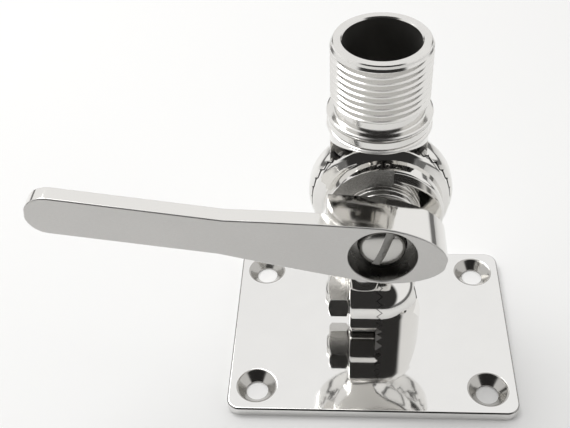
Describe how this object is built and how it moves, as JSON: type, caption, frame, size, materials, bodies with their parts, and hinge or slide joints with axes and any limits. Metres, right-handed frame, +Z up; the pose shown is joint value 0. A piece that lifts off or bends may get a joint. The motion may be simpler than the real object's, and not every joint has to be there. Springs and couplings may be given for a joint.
{
  "type": "folding antenna mount",
  "caption": "Polished stainless deck mount: screwed plate, toothed tilt and fold joints locked by a nut and a clamping lever, and a threaded stub on top.",
  "frame": {"origin": "centre of the base plate's underside", "axes": "+Z up off the deck, X along the plate's long side and the tilt bolt, +Y away from the clamping lever"},
  "size_m": [0.1319, 0.064, 0.1048],
  "materials": {
    "polished_plate": "mirror polished stainless sheet",
    "polished_casting": "mirror polished stainless casting",
    "machined_tube": "machined stainless, thread left bright",
    "bolt_steel": "plain bright stainless",
    "lever_satin": "satin front, polished edges",
    "screw_steel": "bright turned stainless",
    "spring_steel": "drawn stainless wire"
  },
  "bodies": {
    "base": {"base_plate": "polished_plate", "base_ear": "polished_casting", "tilt_bolt": "bolt_steel", "tilt_nut": "bolt_steel"},
    "knuckle": {"knuckle": "polished_casting", "thrust_washer": "bolt_steel"},
    "head": {"head_casting": "polished_casting", "mast_stub": "machined_tube", "fold_stud": "bolt_steel"},
    "clamp": {"clamp_nut": "bolt_steel", "lever_screw": "screw_steel", "lever_spring": "spring_steel"},
    "lever": {"lever_handle": "lever_satin"}
  },
  "joints": [
    {"name": "tilt", "type": "hinge", "parent": "base", "child": "knuckle", "pos_m": [0.0022, 0.0022, 0.016], "axis": [1, 0, 0], "range_deg": [-84, 60]},
    {"name": "fold", "type": "hinge", "parent": "knuckle", "child": "head", "pos_m": [0.0017, 0.002, 0.0553], "axis": [0, 1, 0], "range_deg": [-90, 90]},
    {"name": "clamp_turn", "type": "hinge", "parent": "knuckle", "child": "clamp", "pos_m": [0.0017, -0.01, 0.0553], "axis": [0, 1, 0], "range_deg": [-20, 180]},
    {"name": "lever_lift", "type": "slide", "parent": "clamp", "child": "lever", "axis": [0, -1, 0], "range_m": [0, 0.0024], "stiffness_N_per_m": 800, "springref_m": -0.002, "deforming": ["lever_spring"]}
  ]
}
